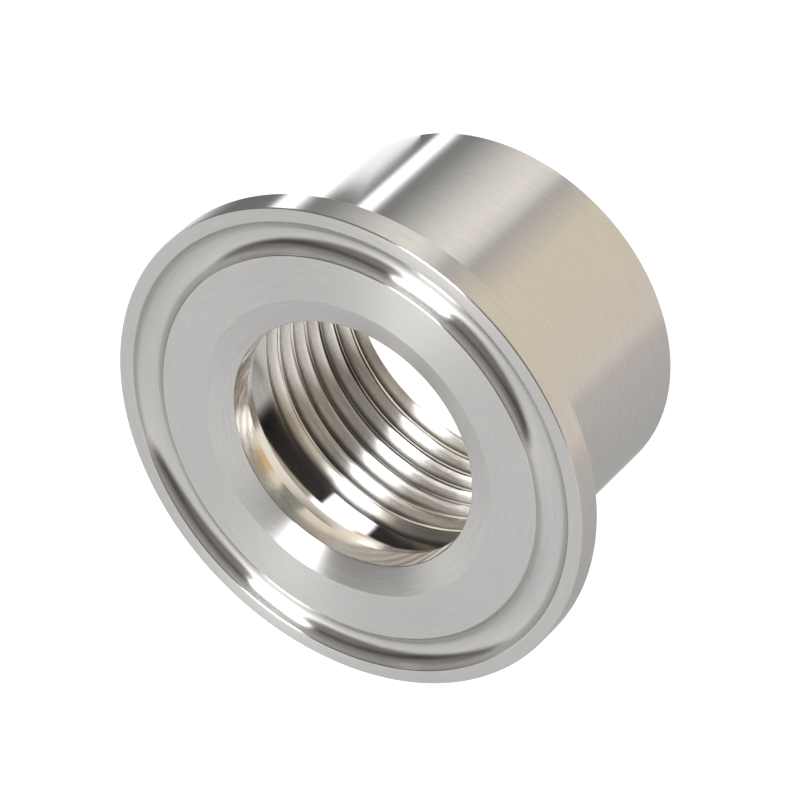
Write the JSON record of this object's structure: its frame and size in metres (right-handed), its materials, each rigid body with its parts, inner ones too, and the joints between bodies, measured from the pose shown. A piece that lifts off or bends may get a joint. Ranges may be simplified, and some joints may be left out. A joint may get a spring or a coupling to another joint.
{
  "type": "sanitary clamp adapter",
  "caption": "Turned steel adapter: a round clamp flange with a gasket groove and dished mouth, on a short barrel with an internal pipe thread.",
  "frame": {"origin": "centre of the threaded end's flat face, which the part stands on", "axes": "+Z along the bore's axis from the threaded end to the sealing face; X and Y lie in the threaded end's face"},
  "size_m": [0.0506, 0.0506, 0.027],
  "materials": {
    "steel": "satin turned, with fine lathe marks"
  },
  "bodies": {
    "root": {"clamp_adapter": "steel"}
  },
  "joints": []
}
